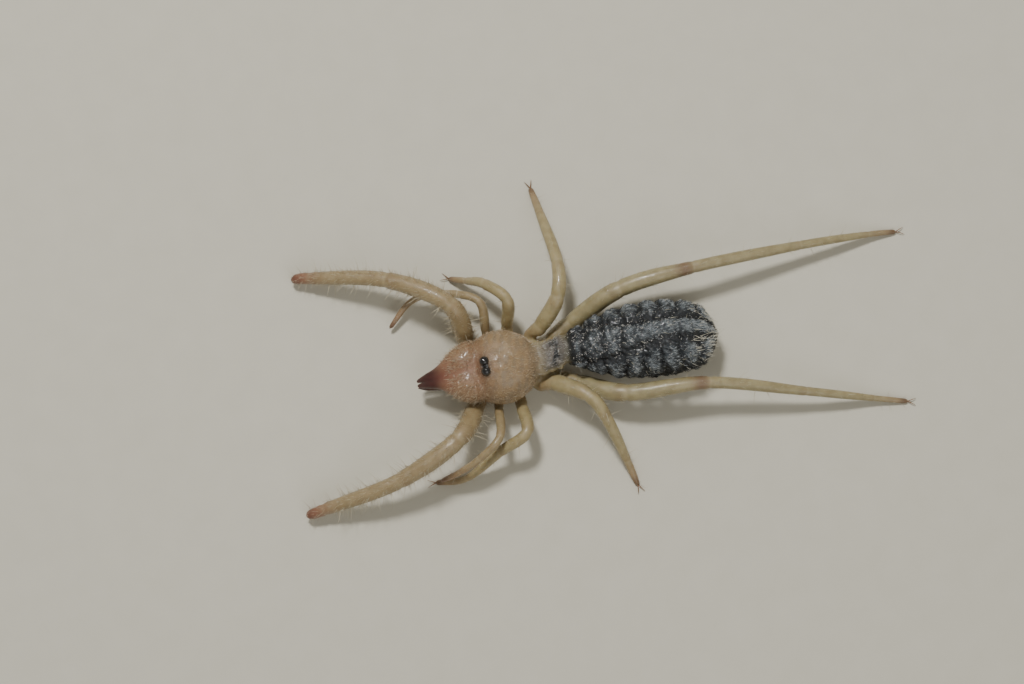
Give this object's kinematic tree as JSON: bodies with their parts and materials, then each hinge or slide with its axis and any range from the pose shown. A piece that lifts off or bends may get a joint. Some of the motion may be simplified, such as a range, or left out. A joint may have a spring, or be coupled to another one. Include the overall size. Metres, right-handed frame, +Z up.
{
  "type": "camel spider",
  "caption": "Life-size still model of a camel spider walking: big paired jaws, slim palps, thin legs and a grey, hairy, segmented abdomen.",
  "frame": {"origin": "on the ground, under the middle of the whole span of palps and legs", "axes": "+X to the animal's rear, so the head points along -X; +Y to its right; +Z up"},
  "size_m": [0.0652, 0.0336, 0.0079],
  "materials": {
    "shield": "tan, waxy, fine short hairs",
    "chelicera": "pinkish tan, waxy, with stiff bristles",
    "finger": "dark red-brown, polished horn",
    "eye": "black, glossy",
    "limb": "pale tan, waxy and a little translucent, with sparse long hairs",
    "waist": "pale violet grey, soft",
    "abdomen": "dark slate grey under short silvery hairs",
    "chest": "pale tan, waxy"
  },
  "bodies": {
    "root": {"abdomen": "abdomen", "chelicera_finger_left": "finger", "chelicera_finger_right": "finger", "chelicera_left": "chelicera", "chelicera_right": "chelicera", "chest": "chest", "eye_left": "eye", "eye_right": "eye", "head_shield": "shield", "leg_1_left_femur": "limb", "leg_1_left_foot": "limb", "leg_1_left_tibia": "limb", "leg_1_right_femur": "limb", "leg_1_right_foot": "limb", "leg_1_right_tibia": "limb", "leg_2_left_femur": "limb", "leg_2_left_foot": "limb", "leg_2_left_tibia": "limb", "leg_2_right_femur": "limb", "leg_2_right_foot": "limb", "leg_2_right_tibia": "limb", "leg_3_left_femur": "limb", "leg_3_left_foot": "limb", "leg_3_left_tibia": "limb", "leg_3_right_femur": "limb", "leg_3_right_foot": "limb", "leg_3_right_tibia": "limb", "leg_4_left_femur": "limb", "leg_4_left_foot": "limb", "leg_4_left_patella": "limb", "leg_4_left_tibia": "limb", "leg_4_right_femur": "limb", "leg_4_right_foot": "limb", "leg_4_right_patella": "limb", "leg_4_right_tibia": "limb", "palp_left_femur": "limb", "palp_left_foot": "limb", "palp_left_tibia": "limb", "palp_right_femur": "limb", "palp_right_foot": "limb", "palp_right_tibia": "limb", "waist": "waist"}
  },
  "joints": []
}
